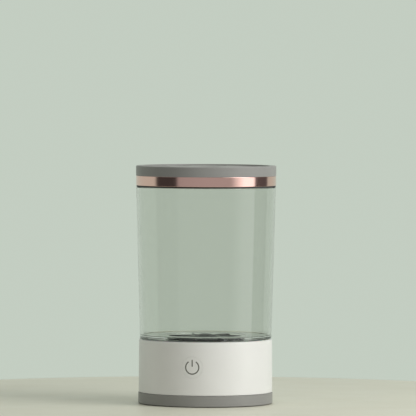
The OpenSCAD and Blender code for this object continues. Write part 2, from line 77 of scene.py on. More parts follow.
LID_R = radius("lid_ring")
LID_TOP = high_z("lid_cover")
LID_GAP = 1.3 * MM  # between the cup's shoulder and the ring
RING_Z = (low_z("lid_ring"), high_z("lid_ring"))
SHOULDER_Z = RING_Z[0] - LID_GAP
CUP_FOOT_Z = high_z("seat_gasket")
CUP_R = radius("cup")
CUP_LOW_R = 46.9 * MM  # the wall tapers to this at the foot
CUP_TOP_Z = high_z("cup")
HOUSING_TOP_Z = low_z("seat_gasket")
HOUSING_R = radius("housing")
COVER_R = radius("bottom_cover")


# ---- mesh helpers ----


def polar(r, angle):
    """The point at this radius and angle."""
    return r * math.cos(angle), r * math.sin(angle)


def ring_spots(pitch_r, count, first_degrees=0.0):
    """Evenly spaced points on a circle about the frame's axis."""
    return [polar(pitch_r, math.radians(first_degrees + 360 * k / count)) for k in range(count)]


def add_object(name, mesh):
    """Links a mesh as a new object, with smooth faces that break at sharp edges."""
    mesh.update()
    obj = bpy.data.objects.new(name, mesh)
    bpy.context.scene.collection.objects.link(obj)
    shade(obj)
    return obj


def shade(obj):
    for face in obj.data.polygons:
        face.use_smooth = True
    obj.data.set_sharp_from_angle(angle=SHARP_ANGLE)


def rounded(outline, steps=5):
    """Rounds the corners of a closed outline. Each point is (x, y) or (x, y, corner radius)."""
    out = []
    count = len(outline)
    for i, point in enumerate(outline):
        here = Vector(point[:2])
        corner_r = point[2] if len(point) > 2 else 0.0
        before = Vector(outline[i - 1][:2]) - here
        after = Vector(outline[(i + 1) % count][:2]) - here
        if corner_r <= 0 or before.length < 1e-9 or after.length < 1e-9:
            out.append((here.x, here.y))
            continue
        angle = before.angle(after)
        if angle > STRAIGHT_ANGLE:
            out.append((here.x, here.y))
            continue
        reach = min(corner_r / math.tan(angle / 2), 0.48 * before.length, 0.48 * after.length)
        arc_r = reach * math.tan(angle / 2)
        first = here + before.normalized() * reach
        last = here + after.normalized() * reach
        bisector = (before.normalized() + after.normalized()).normalized()
        centre = here + bisector * (arc_r / math.sin(angle / 2))
        start = (first - centre).normalized()
        end = (last - centre).normalized()
        sweep = start.angle(end)
        for k in range(steps + 1):
            t = k / steps
            a = math.sin((1 - t) * sweep) / math.sin(sweep)
            b = math.sin(t * sweep) / math.sin(sweep)
            p = centre + (start * a + end * b) * arc_r
            out.append((p.x, p.y))
    return out


def lathe(name, outline, steps=AXIS_STEPS, centre=(0.0, 0.0)):
    """Turns a closed outline of (radius, height) points about a vertical line into a closed solid."""
    bm = bmesh.new()
    rings = []
    for r, z in outline:
        if r < 1e-7:
            rings.append([bm.verts.new((centre[0], centre[1], z))])
        else:
            rings.append([
                bm.verts.new((
                    centre[0] + r * math.cos(math.tau * k / steps),
                    centre[1] + r * math.sin(math.tau * k / steps),
                    z,
                ))
                for k in range(steps)
            ])
    for i, ring in enumerate(rings):
        following = rings[(i + 1) % len(rings)]
        if len(ring) == 1 and len(following) == 1:
            continue
        for k in range(steps):
            n = (k + 1) % steps
            if len(ring) == 1:
                bm.faces.new((ring[0], following[n], following[k]))
            elif len(following) == 1:
                bm.faces.new((ring[k], ring[n], following[0]))
            else:
                bm.faces.new((ring[k], ring[n], following[n], following[k]))
    bmesh.ops.recalc_face_normals(bm, faces=bm.faces)
    mesh = bpy.data.meshes.new(name)
    bm.to_mesh(mesh)
    bm.free()
    return add_object(name, mesh)


def boolean(obj, cutters, operation="DIFFERENCE"):
    """Cuts, joins or intersects obj with each cutter in turn, and removes the cutters."""
    for cutter in cutters:
        modifier = obj.modifiers.new("cut", "BOOLEAN")
        modifier.operation = operation
        modifier.solver = "EXACT"
        modifier.object = cutter
        evaluated = obj.evaluated_get(bpy.context.evaluated_depsgraph_get())
        mesh = bpy.data.meshes.new_from_object(evaluated)
        obj.modifiers.clear()
        obj.data = mesh
        bpy.data.objects.remove(cutter)
    shade(obj)
    even = obj.modifiers.get("even_normals") or obj.modifiers.new("even_normals", "WEIGHTED_NORMAL")
    even.keep_sharp = True
    return obj


def place(obj, body, material, slot, *nodes):
    """Gives a piece its material, lets it ride on a body, and hides the nodes it stands for. The slot is not
    used.
    """
    obj.data.materials.clear()
    obj.data.materials.append(material)
    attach(obj, body)
    if nodes:
        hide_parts(*nodes)
    return obj


# ---- materials ----


def math_node(tree, operation, a, b=0.0):
    node = tree.nodes.new("ShaderNodeMath")
    node.operation = operation
    for k, value in enumerate((a, b)):
        if isinstance(value, (int, float)):
            node.inputs[k].default_value = value
        else:
            tree.links.new(value, node.inputs[k])
    return node.outputs[0]


def mix_node(tree, share, low, high):
    """A colour between low and high, each a colour or another node's colour."""
    node = tree.nodes.new("ShaderNodeMix")
    node.data_type = "RGBA"
    tree.links.new(share, node.inputs["Factor"])
    for socket, value in (("A", low), ("B", high)):
        target = next(i for i in node.inputs if i.name == socket and i.type == "RGBA")
        if isinstance(value, tuple):
            target.default_value = (*value, 1.0)
        else:
            tree.links.new(value, target)
    return next(o for o in node.outputs if o.type == "RGBA")


class Surface:
    """A Principled material, with short calls for the procedural nodes that vary it."""

    def __init__(self, name, values):
        self.material = bpy.data.materials.new(name)
        self.material.use_nodes = True
        self.tree = self.material.node_tree
        self.nodes = self.tree.nodes
        self.shader = self.nodes["Principled BSDF"]
        for socket, value in values.items():
            self.shader.inputs[socket].default_value = value
        self.here = self.nodes.new("ShaderNodeTexCoord").outputs["Object"]

    def join(self, source, node, socket):
        self.tree.links.new(source, node.inputs[socket])

    def noise(self, size, detail=2.0, stretch=(1.0, 1.0, 1.0), where=None):
        """Noise whose blotches are about size metres across, or longer where stretch is above 1."""
        mapping = self.nodes.new("ShaderNodeMapping")
        mapping.inputs["Scale"].default_value = [1.0 / (size * s) for s in stretch]
        self.join(where or self.here, mapping, "Vector")
        noise = self.nodes.new("ShaderNodeTexNoise")
        noise.inputs["Scale"].default_value = 1.0
        noise.inputs["Detail"].default_value = detail
        self.join(mapping.outputs["Vector"], noise, "Vector")
        return noise.outputs["Fac"]

    def turn(self, round_size, high_size):
        """Cylindrical coordinates about the frame's axis, so that noise runs as fine lines round the part."""
        split = self.nodes.new("ShaderNodeSeparateXYZ")
        self.join(self.here, split, "Vector")
        x, y, z = split.outputs
        angle = self.math("ARCTAN2", y, x)
        reach = self.math("SQRT", self.math("ADD", self.math("MULTIPLY", x, x), self.math("MULTIPLY", y, y)))
        joined = self.nodes.new("ShaderNodeCombineXYZ")
        self.join(self.math("MULTIPLY", angle, 1.0 / round_size), joined, "X")
        self.join(self.math("MULTIPLY", z, 1.0 / high_size), joined, "Y")
        self.join(self.math("MULTIPLY", reach, 1.0 / high_size), joined, "Z")
        return joined.outputs["Vector"]

    def math(self, operation, a, b=0.0):
        return math_node(self.tree, operation, a, b)

    def spread(self, source, low, high, from_low=0.3, from_high=0.7):
        """source from from_low to from_high becomes low to high."""
        node = self.nodes.new("ShaderNodeMapRange")
        node.inputs["From Min"].default_value = from_low
        node.inputs["From Max"].default_value = from_high
        node.inputs["To Min"].default_value = low
        node.inputs["To Max"].default_value = high
        self.join(source, node, "Value")
        return node.outputs["Result"]

    def blend(self, share, low, high):
        return mix_node(self.tree, share, low, high)

    def colour(self, source):
        self.join(source, self.shader, "Base Color")

    def roughness(self, source):
        self.join(source, self.shader, "Roughness")

    def relief(self, height, depth, below=None):
        """Bumps of the given depth in metres, on top of an earlier relief."""
        node = self.nodes.new("ShaderNodeBump")
        node.inputs["Distance"].default_value = depth
        self.join(height, node, "Height")
        if below is not None:
            self.join(below, node, "Normal")
        self.join(node.outputs["Normal"], self.shader, "Normal")
        return node.outputs["Normal"]


def moulded(name, low, high, rough=(0.4, 0.5), grain=0.35 * MM, grain_depth=0.006 * MM, values=None):
    """Moulded plastic: slow colour drift, a fine texture and uneven gloss."""
    s = Surface(name, {"IOR": 1.5, **(values or {})})
    tint = s.blend(s.spread(s.noise(22 * MM, 3), 0.0, 1.0), low, high)
    speck = s.spread(s.noise(0.9 * MM, 4), 0.0, 0.35)
    tint = s.blend(speck, tint, high)
    s.colour(tint)
    s.roughness(s.spread(s.noise(9 * MM, 4), *rough))
    below = s.relief(s.noise(6 * MM, 1), 0.02 * MM)
    s.relief(s.noise(grain, 3), grain_depth, below)
    return s.material


def brushed(name, low, high, rough, round_size=0.35, high_size=0.05 * MM, depth=0.0015 * MM, values=None):
    """Metal with fine lines round the frame's axis."""
    s = Surface(name, {"Metallic": 1.0, **(values or {})})
    lines = s.noise(1.0, 4, where=s.turn(round_size, high_size))
    s.colour(s.blend(s.spread(lines, 0.0, 1.0), low, high))
    s.roughness(s.spread(lines, *rough))
    s.relief(lines, depth, s.relief(s.noise(12 * MM, 1), 0.01 * MM))
    return s.material


def make_clear():
    """Clear moulded plastic: polished, with faint moulding waves and finger haze."""
    s = Surface("clear_plastic", {
        "Base Color": (0.857, 0.868, 0.845, 1.0), "Transmission Weight": 1.0, "IOR": 1.49, "Roughness": 0.01})
    haze = s.math("MULTIPLY", s.noise(30 * MM, 2), s.noise(2.5 * MM, 5))
    s.roughness(s.spread(haze, 0.004, 0.05, 0.25, 0.5))
    s.relief(s.noise(26 * MM, 1, stretch=(1, 1, 2.5)), 0.05 * MM)
    return s.material


def make_silicone():
    """Soft dark silicone that lets a little light in."""
    s = Surface("petal_silicone", {
        "IOR": 1.42, "Subsurface Weight": 0.25, "Subsurface Scale": 1.5 * MM,
        "Subsurface Radius": (1.0, 0.95, 0.9), "Coat Weight": 0.05})
    s.colour(s.blend(s.spread(s.noise(4 * MM, 3), 0.0, 1.0), (0.085, 0.087, 0.082), (0.115, 0.117, 0.11)))
    s.roughness(s.spread(s.noise(1.5 * MM, 4), 0.5, 0.68))
    s.relief(s.noise(0.25 * MM, 2), 0.006 * MM)
    return s.material


def make_board():
    """Solder mask with copper tracks under it."""
    s = Surface("circuit_board", {"IOR": 1.52, "Coat Weight": 0.3})
    tracks = s.spread(s.noise(1.6 * MM, 0, stretch=(4, 1, 1)), 0.0, 1.0, 0.47, 0.52)
    s.colour(s.blend(tracks, (0.008, 0.075, 0.03), (0.02, 0.16, 0.06)))
    s.roughness(s.spread(s.noise(3 * MM, 2), 0.28, 0.4))
    s.relief(tracks, 0.03 * MM)
    return s.material


def make_floor():
    """The table: pale, satin and faintly uneven."""
    s = Surface("pale_table", {"IOR": 1.45})
    s.colour(s.blend(s.spread(s.noise(120 * MM, 4), 0.0, 1.0), (0.632, 0.622, 0.515), (0.668, 0.658, 0.55)))
    s.roughness(s.spread(s.noise(40 * MM, 4), 0.34, 0.46))
    s.relief(s.noise(0.8 * MM, 4), 0.02 * MM)
    return s.material


GREY = moulded("soft_grey", (0.268, 0.266, 0.254), (0.296, 0.294, 0.281), rough=(0.34, 0.42),
               grain=0.3 * MM, grain_depth=0.005 * MM, values={"Specular IOR Level": 0.2})
WHITE = moulded("satin_white", (0.775, 0.775, 0.755), (0.80, 0.80, 0.78), rough=(0.34, 0.42),
                values={"Coat Weight": 0.08})
DECK = moulded("deck_white", (0.80, 0.80, 0.785), (0.83, 0.83, 0.815), rough=(0.42, 0.5))
BLACK = moulded("black_moulding", (0.018, 0.018, 0.018), (0.026, 0.026, 0.027), rough=(0.35, 0.5))
IMPELLER = moulded("impeller_black", (0.007, 0.007, 0.007), (0.012, 0.012, 0.012), rough=(0.12, 0.2),
                   grain=0.5 * MM, grain_depth=0.001 * MM, values={"Specular IOR Level": 0.35})
RUBBER = moulded("black_rubber", (0.02, 0.02, 0.02), (0.032, 0.032, 0.033), rough=(0.62, 0.78),
                 grain=0.25 * MM, grain_depth=0.015 * MM)
PALE = moulded("pale_silicone", (0.66, 0.67, 0.63), (0.72, 0.73, 0.69), rough=(0.45, 0.6),
               grain=0.25 * MM, grain_depth=0.01 * MM,
               values={"IOR": 1.42, "Subsurface Weight": 0.3, "Subsurface Scale": 0.5 * MM})
SYMBOL = moulded("symbol_grey", (0.125, 0.13, 0.11), (0.15, 0.155, 0.135), rough=(0.4, 0.5))
BATTERY = moulded("battery_sleeve", (0.03, 0.11, 0.30), (0.04, 0.14, 0.36), rough=(0.2, 0.3),
                  values={"Coat Weight": 0.4})
WIRE = moulded("wire_sleeve", (0.35, 0.02, 0.015), (0.42, 0.03, 0.02), rough=(0.35, 0.45))
FERRITE = moulded("ferrite", (0.03, 0.03, 0.032), (0.045, 0.045, 0.048), rough=(0.5, 0.65))
ROSE = brushed("rose_metal", (0.82, 0.535, 0.48), (0.88, 0.59, 0.53), (0.09, 0.15),
               values={"Anisotropic": 0.4})
STEEL = brushed("screw_steel", (0.50, 0.50, 0.50), (0.62, 0.62, 0.615), (0.25, 0.4), round_size=0.2)
PLATED = brushed("plated_steel", (0.56, 0.56, 0.55), (0.66, 0.66, 0.65), (0.22, 0.36))
BRASS = brushed("brass", (0.66, 0.47, 0.19), (0.76, 0.55, 0.24), (0.25, 0.4))
COPPER = brushed("copper", (0.60, 0.27, 0.13), (0.72, 0.34, 0.18), (0.2, 0.35))
MAGNET = brushed("nickel", (0.62, 0.61, 0.58), (0.72, 0.71, 0.68), (0.12, 0.22))
CLEAR = make_clear()
SILICONE = make_silicone()
BOARD = make_board()

SLOT_MATERIALS = {
    "grey_plastic": GREY, "white_plastic": WHITE, "deck_plastic": DECK, "black_plastic": BLACK,
    "impeller_plastic": IMPELLER, "clear_plastic": CLEAR, "rose_metal": ROSE, "rubber": RUBBER,
    "petal_silicone": SILICONE, "pale_silicone": PALE, "symbol_grey": SYMBOL, "screw_steel": STEEL,
    "plated_steel": PLATED, "brass": BRASS, "copper": COPPER, "magnet": MAGNET, "ferrite": FERRITE,
    "battery_wrap": BATTERY, "wire": WIRE, "circuit_board": BOARD,
}

for row in frame["record"]["subparts"]:
    cad_node = frame["nodes"][row["node"]]
    cad_node.data.materials.clear()
    cad_node.data.materials.append(SLOT_MATERIALS[row["material_slot"]])


# ---- proportions of the pieces, inside the boxes of the nodes that they stand for ----

CUP_WALL = 2.0 * MM
SPIGOT_R = (32.0 * MM, 34.0 * MM)
SPIGOT_Z = CUP_FOOT_Z - 5.4 * MM
CUP_UNDER_Z = CUP_FOOT_Z - 2.6 * MM
CUP_FLOOR_Z = CUP_FOOT_Z + 2.6 * MM
CUP_FLOOR_FILLET = 0.6 * MM
WELL_R = 28.5 * MM
WELL_FLOOR_Z = CUP_FOOT_Z - 1.0 * MM
SPINDLE_R = 1.5 * MM
SPINDLE_SEAT = 0.8 * MM
NECK_T = 1.0 * MM
KEY_W = 4.2 * MM
KEY_H = 2.5 * MM

HUB_R = 7.6 * MM
BLADE_COUNT = 6
SCALLOP_COUNT = 12
SCALLOP_R = 2.4 * MM
BUSHING_R = 3.05 * MM
SPINDLE_CLEAR_R = 1.9 * MM
DISC_RAISED_R = 17.0 * MM
MAGNET_POCKET_R = 4.05 * MM
MAGNET_SPOTS = ring_spots(11.5 * MM, 4, 45)

GRIP_SPOTS = ring_spots(34.5 * MM, 8)
GRIP_HOLE_R = 8.5 * MM
CENTRE_HOLE_R = 10.0 * MM
GRIP_R = 3.2 * MM
CENTRE_GRIP_R = 4.4 * MM
SLIT_W = 0.5 * MM
LID_COVER_Z = RING_Z[1]
LID_DISH = 0.9 * MM
LID_PLATE_R = 46.2 * MM
LID_PLUG_R = (43.6 * MM, 45.4 * MM)
LID_SCREW_SPOTS = ring_spots(22 * MM, 4, 22.5)
LID_SCREW_CLEAR_R = 1.6 * MM

HOUSING_TOP_R = HOUSING_R - 0.2 * MM
HOUSING_IN_R = 45.4 * MM
HOUSING_FOOT_Z = 8.1 * MM
LEDGE_Z = HOUSING_TOP_Z - 6.9 * MM
COVER_FLOOR_Z = 3.0 * MM
COVER_LIP_R = (43.7 * MM, 45.2 * MM)
BOSS_PITCH_R = 40.0 * MM
BOSS_SPOTS = ring_spots(BOSS_PITCH_R, 4, 45)
FOOT_SPOTS = ring_spots(38 * MM, 4)
FOOT_R = 5.0 * MM
BOARD_POSTS = [(-10.5 * MM, 18 * MM), (16.5 * MM, 18 * MM), (16.5 * MM, 34.5 * MM), (-10.5 * MM, 34.5 * MM)]
SCREW_PILOT_R = 1.3 * MM
BUTTON_FLANGE = 2 * MM  # how far the button's hidden flange stands out past its face
BUTTON_GAP = 0.08 * MM
BUTTON_TUBE_T = 3 * MM
BUTTON_TUBE_END = 42.5 * MM  # the guide's inner end, from the axis
UPRIGHT_X = (5.9 * MM, 8.9 * MM)  # the two uprights that hold the switch board, from its middle
GROOVE_X = 8.1 * MM  # the groove in them for the board's edges reaches out to here
PAST = 2 * MM  # how far a cutter runs past the face that it cuts


# ---- more mesh helpers ----


def skin(name, bm, rings):
    """Closes a row of equal rings of vertices into one solid, with a cap at each end."""
    for first, second in zip(rings, rings[1:]):
        for k in range(len(first)):
            n = (k + 1) % len(first)
            bm.faces.new((first[k], first[n], second[n], second[k]))
    bm.faces.new(rings[0])
    bm.faces.new(list(reversed(rings[-1])))
    bmesh.ops.recalc_face_normals(bm, faces=bm.faces)
    mesh = bpy.data.meshes.new(name)
    bm.to_mesh(mesh)
    bm.free()
    return add_object(name, mesh)


def prism(name, outline, start, end, along_y=False):
    """An outline drawn out along Z, or along Y with the outline's second number as its height."""
    bm = bmesh.new()
    if along_y:
        rings = [[bm.verts.new((x, level, z)) for x, z in outline] for level in (start, end)]
    else:
        rings = [[bm.verts.new((x, y, level)) for x, y in outline] for level in (start, end)]
    return skin(name, bm, rings)


def block(name, low, high):
    x0, y0, z0 = low
    x1, y1, z1 = high
    return prism(name, [(x0, y0), (x1, y0), (x1, y1), (x0, y1)], z0, z1)


def column(name, r, low, high, spot=(0.0, 0.0), steps=64):
    return lathe(name, [(0, low), (r, low), (r, high), (0, high)], steps, spot)


def slot_outline(width, height, z, steps=16):
    """A flat slot with round ends, centred on x = 0."""
    r = height / 2
    reach = width / 2 - r
    turns = [math.pi * k / steps for k in range(steps + 1)]
    right = [(reach + r * math.sin(a), z - r * math.cos(a)) for a in turns]
    return right + [(-x, 2 * z - h) for x, h in right]


def round_outline(r, z, steps=96):
    """A circle centred on x = 0."""
    points = [polar(r, math.tau * k / steps) for k in range(steps)]
    return [(x, z + h) for x, h in points]


def gather(name, parts):
    """Joins separate solids into one object."""
    bm = bmesh.new()
    for part in parts:
        bm.from_mesh(part.data)
        bpy.data.objects.remove(part)
    mesh = bpy.data.meshes.new(name)
    bm.to_mesh(mesh)
    bm.free()
    return add_object(name, mesh)


def spun(obj, angle):
    """Turns a piece's mesh about the frame's axis."""
    obj.data.transform(Matrix.Rotation(angle, 4, "Z"))
    return obj


def moved(obj, x, y):
    obj.data.transform(Matrix.Translation((x, y, 0)))
    return obj


# ---- cup ----


def make_cup():
    """Clear one-piece cup: spigot, thick floor with the impeller's well, and a thin neck for the lid."""
    inner_r = CUP_R - CUP_WALL
    cup = lathe("clear_cup", rounded([
        (0, CUP_UNDER_Z), (SPIGOT_R[0], CUP_UNDER_Z, 0.5 * MM), (SPIGOT_R[0], SPIGOT_Z, 0.4 * MM),
        (SPIGOT_R[1], SPIGOT_Z, 0.4 * MM), (SPIGOT_R[1], CUP_FOOT_Z, 0.3 * MM),
        (CUP_LOW_R, CUP_FOOT_Z, 0.5 * MM), (CUP_R, SHOULDER_Z, 0.3 * MM),
        (inner_r + NECK_T, SHOULDER_Z, 0.25 * MM), (inner_r + NECK_T, CUP_TOP_Z, 0.3 * MM),
        (inner_r, CUP_TOP_Z, 0.3 * MM), (inner_r, SHOULDER_Z - 1 * MM, 8 * MM),
        (CUP_LOW_R - CUP_WALL, CUP_FLOOR_Z, CUP_FLOOR_FILLET), (WELL_R, CUP_FLOOR_Z, 0.6 * MM),
        (WELL_R, WELL_FLOOR_Z, 0.6 * MM), (SPINDLE_R, WELL_FLOOR_Z),
        (SPINDLE_R, WELL_FLOOR_Z - SPINDLE_SEAT), (0, WELL_FLOOR_Z - SPINDLE_SEAT),
    ]))
    notches = [
        spun(block("notch", (SPIGOT_R[0] - 1 * MM, -KEY_W / 2, SPIGOT_Z - PAST),
                   (SPIGOT_R[1] + 0.2 * MM, KEY_W / 2, SPIGOT_Z + KEY_H)), math.radians(90 + 120 * k))
        for k in range(3)]
    boolean(cup, [gather("notches", notches)])
    place(cup, "cup", CLEAR, "clear_plastic", "cup")


def make_seat_gasket():
    """The pale ring between the base and the cup's foot."""
    low, high = HOUSING_TOP_Z, CUP_FOOT_Z - 0.06 * MM
    inner, outer = CUP_LOW_R - 2 * MM, CUP_LOW_R - 0.5 * MM
    gasket = lathe("seat_gasket_ring", rounded([
        (inner, low, 0.1 * MM), (outer, low, 0.15 * MM),
        (outer, high, 0.15 * MM), (inner, high, 0.1 * MM),
    ], 4))
    place(gasket, "base", PALE, "pale_silicone", "seat_gasket")


# ---- lid ----


def opening_cutter(r, low, edge_z, edge_r, spot):
    """Cuts a round opening whose upper edge is rounded over."""
    steps = 6
    arc = []
    for k in range(steps + 1):
        out, up = polar(edge_r, math.pi / 2 * k / steps)
        arc.append((r + edge_r - out, edge_z - edge_r + up))
    top = LID_TOP + PAST
    return lathe("opening", [(0, low), (r, low), *arc, (arc[-1][0], top), (0, top)], 96, spot)


def make_lid_cover():
    """Grey cap with a shallow dish, nine openings with rounded rims and four blind screw holes."""
    under = high_z("petal_sheet")
    plate_top = LID_TOP - LID_DISH
    dish_r = LID_R - 4.6 * MM
    cover = lathe("lid_cover_shell", rounded([
        (0, under), (LID_PLATE_R + 0.3 * MM, under), (LID_PLATE_R + 0.3 * MM, LID_COVER_Z, 0.2 * MM),
        (LID_R, LID_COVER_Z, 0.25 * MM), (LID_R, LID_TOP, 0.7 * MM),
        (dish_r + 0.15 * MM, LID_TOP, 0.25 * MM), (dish_r, plate_top, 0.25 * MM), (0, plate_top),
    ], 8))
    rim_r = 0.7 * MM
    cutters = [opening_cutter(GRIP_HOLE_R, under - PAST, plate_top, rim_r, spot) for spot in GRIP_SPOTS]
    cutters.append(opening_cutter(CENTRE_HOLE_R, under - PAST, plate_top, rim_r, (0, 0)))
    cutters += [column("pilot", SCREW_PILOT_R, under - PAST, under + 2.2 * MM, spot, 32)
                for spot in LID_SCREW_SPOTS]
    boolean(cover, [gather("openings", cutters)])
    place(cover, "lid", GREY, "grey_plastic", "lid_cover")


def lid_holes(gap, low, high):
    """Cutters for the nine openings, wider by the gap all round, and for the four screws."""
    holes = [column("hole", GRIP_HOLE_R + gap, low, high, spot, 96) for spot in GRIP_SPOTS]
    holes.append(column("hole", CENTRE_HOLE_R + gap, low, high, steps=96))
    holes += [column("hole", LID_SCREW_CLEAR_R, low, high, spot, 32) for spot in LID_SCREW_SPOTS]
    return gather("holes", holes)


def make_petals():
    """One silicone sheet. In each opening it dips towards a round mouth and is slit into petals."""
    low, high = low_z("petal_sheet"), high_z("petal_sheet")

    def grip(mouth_r, hole_r, petals, spot):
        flange_r = hole_r + 1.6 * MM
        disc = lathe("grip", rounded([
            (mouth_r, low - 0.9 * MM, 0.4 * MM), (mouth_r + 1.2 * MM, low - 0.85 * MM, 0.6 * MM),
            (hole_r - 1.4 * MM, low + 0.02 * MM, 3 * MM), (flange_r, low + 0.02 * MM),
            (flange_r, high - 0.02 * MM), (hole_r - 1.4 * MM, high - 0.02 * MM, 3 * MM),
            (mouth_r + 1.6 * MM, high - 0.95 * MM, 1 * MM), (mouth_r + 1.1 * MM, high - 0.7 * MM, 0.3 * MM),
            (mouth_r, high - 0.8 * MM, 0.5 * MM),
        ], 4), 96)
        slits = [
            spun(block("slit", (mouth_r - 1 * MM, -SLIT_W / 2, low - PAST),
                       (hole_r - 1 * MM, SLIT_W / 2, high + PAST)),
                 math.radians(90) + math.tau * k / petals)
            for k in range(petals)]
        boolean(disc, [gather("slits", slits)])
        return moved(disc, *spot)

    sheet = lathe("petal_sheet_soft", rounded([
        (0, low), (LID_PLATE_R, low, 0.2 * MM), (LID_PLATE_R, high, 0.2 * MM), (0, high)]))
    boolean(sheet, [lid_holes(0.8 * MM, low - PAST, high + PAST)])
    grips = [grip(GRIP_R, GRIP_HOLE_R, 6, spot) for spot in GRIP_SPOTS]
    grips.append(grip(CENTRE_GRIP_R, CENTRE_HOLE_R, 8, (0, 0)))
    boolean(sheet, [gather("grips", grips)], "UNION")
    place(sheet, "lid", SILICONE, "petal_silicone", "petal_sheet")


def make_lid_carrier():
    """The plate under the petals, with the plug that the seal sits on."""
    plate_z = low_z("petal_sheet") - 2.2 * MM
    step_z = high_z("lid_seal")
    plug_z = SHOULDER_Z + 0.2 * MM
    edge_r = LID_R - 0.85 * MM
    carrier = lathe("lid_carrier_plate", rounded([
        (0, plate_z), (LID_PLUG_R[0], plate_z, 1 * MM), (LID_PLUG_R[0], plug_z, 0.6 * MM),
        (LID_PLUG_R[1], plug_z, 0.4 * MM), (LID_PLUG_R[1], step_z), (edge_r, step_z, 0.1 * MM),
        (edge_r, LID_COVER_Z), (LID_PLATE_R, LID_COVER_Z), (LID_PLATE_R, low_z("petal_sheet")),
        (0, low_z("petal_sheet")),
    ]))
    boolean(carrier, [lid_holes(0.3 * MM, plate_z - PAST, low_z("petal_sheet") + PAST)])
    place(carrier, "lid", GREY, "grey_plastic", "lid_carrier")


def make_lid_ring():
    """The thin metal trim band, rounded most along its lower edge."""
    inner = LID_R - 0.8 * MM
    ring = lathe("lid_trim_ring", rounded([
        (inner, RING_Z[0], 0.2 * MM), (LID_R, RING_Z[0], 0.35 * MM),
        (LID_R, RING_Z[1], 0.2 * MM), (inner, RING_Z[1], 0.1 * MM),
    ], 6), FINE_STEPS)
    place(ring, "lid", ROSE, "rose_metal", "lid_ring")


def make_lid_seal():
    """A rubber sleeve round the plug, with two wiping beads and a lip that lies on the cup's neck."""
    low, high = low_z("lid_seal"), high_z("lid_seal")
    sleeve_r = CUP_R - CUP_WALL - 0.3 * MM
    lip_r = CUP_R - CUP_WALL + NECK_T
    inner = LID_PLUG_R[1] + 0.05 * MM
    beads = []
    for middle in (low + 1.4 * MM, low + 3.8 * MM):
        beads += [(sleeve_r, middle - 0.45 * MM, 0.2 * MM), (sleeve_r + 0.2 * MM, middle, 0.2 * MM),
                  (sleeve_r, middle + 0.45 * MM, 0.2 * MM)]
    seal = lathe("lid_seal_sleeve", rounded([
        (inner, low, 0.1 * MM), (sleeve_r, low, 0.3 * MM), *beads, (sleeve_r, CUP_TOP_Z),
        (lip_r, CUP_TOP_Z), (lip_r, high), (inner, high),
    ], 3))
    place(seal, "lid", RUBBER, "rubber", "lid_seal")


# ---- base ----


def make_housing():
    """White shell: a slightly conical wall, a deck ledge, screw bosses, button bore and port recess."""
    low_in, high_in = HOUSING_IN_R, HOUSING_IN_R - 2.3 * MM
    groove_r, groove_h = HOUSING_R - 0.9 * MM, 0.35 * MM
    housing = lathe("housing_shell", rounded([
        (low_in, HOUSING_FOOT_Z), (groove_r, HOUSING_FOOT_Z), (groove_r, HOUSING_FOOT_Z + groove_h),
        (HOUSING_R, HOUSING_FOOT_Z + groove_h, 0.2 * MM),
        (HOUSING_TOP_R, HOUSING_TOP_Z, 0.55 * MM), (low_in, HOUSING_TOP_Z, 0.3 * MM), (low_in, LEDGE_Z),
        (high_in, LEDGE_Z, 0.2 * MM), (high_in, LEDGE_Z - 1 * MM, 0.3 * MM), (low_in, LEDGE_Z - 3.3 * MM),
    ], 6), FINE_STEPS)
    bore_r = (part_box("power_button")[1].x - BUTTON_FLANGE) + BUTTON_GAP
    button_z = (low_z("power_button") + high_z("power_button")) / 2
    bosses = [column("boss", 3.2 * MM, COVER_FLOOR_Z, LEDGE_Z - 0.05 * MM, spot) for spot in BOSS_SPOTS]
    webs = [spun(block("web", (BOSS_PITCH_R + 1 * MM, -1 * MM, HOUSING_FOOT_Z + 2.7 * MM),
                       (HOUSING_IN_R + 1 * MM, 1 * MM, LEDGE_Z - 0.1 * MM)), math.radians(45 + 90 * k))
            for k in range(4)]
    tube = prism("tube", round_outline(bore_r + BUTTON_TUBE_T, button_z),
                 -HOUSING_IN_R - 0.5 * MM, -BUTTON_TUBE_END, True)
    boolean(housing, [gather("webs", webs), gather("bosses", bosses), tube], "UNION")
    port_z = (low_z("usb_port") + high_z("usb_port")) / 2
    cutters = [column("pilot", SCREW_PILOT_R, COVER_FLOOR_Z - PAST, 15 * MM, spot, 32)
               for spot in BOSS_SPOTS]
    cutters.append(prism("bore", round_outline(bore_r, button_z),
                         -HOUSING_R - PAST, 0.5 * MM - BUTTON_TUBE_END, True))
    cutters.append(prism("port", slot_outline(9.6 * MM, 3.8 * MM, port_z),
                         HOUSING_IN_R - 3 * MM, HOUSING_TOP_R - 0.3 * MM, True))
    recess = prism("recess", slot_outline(12.6 * MM, 6.4 * MM, port_z),
                   HOUSING_TOP_R - 0.5 * MM, HOUSING_R + PAST, True)
    boolean(housing, [gather("holes", cutters), recess])
    place(housing, "base", WHITE, "white_plastic", "housing")


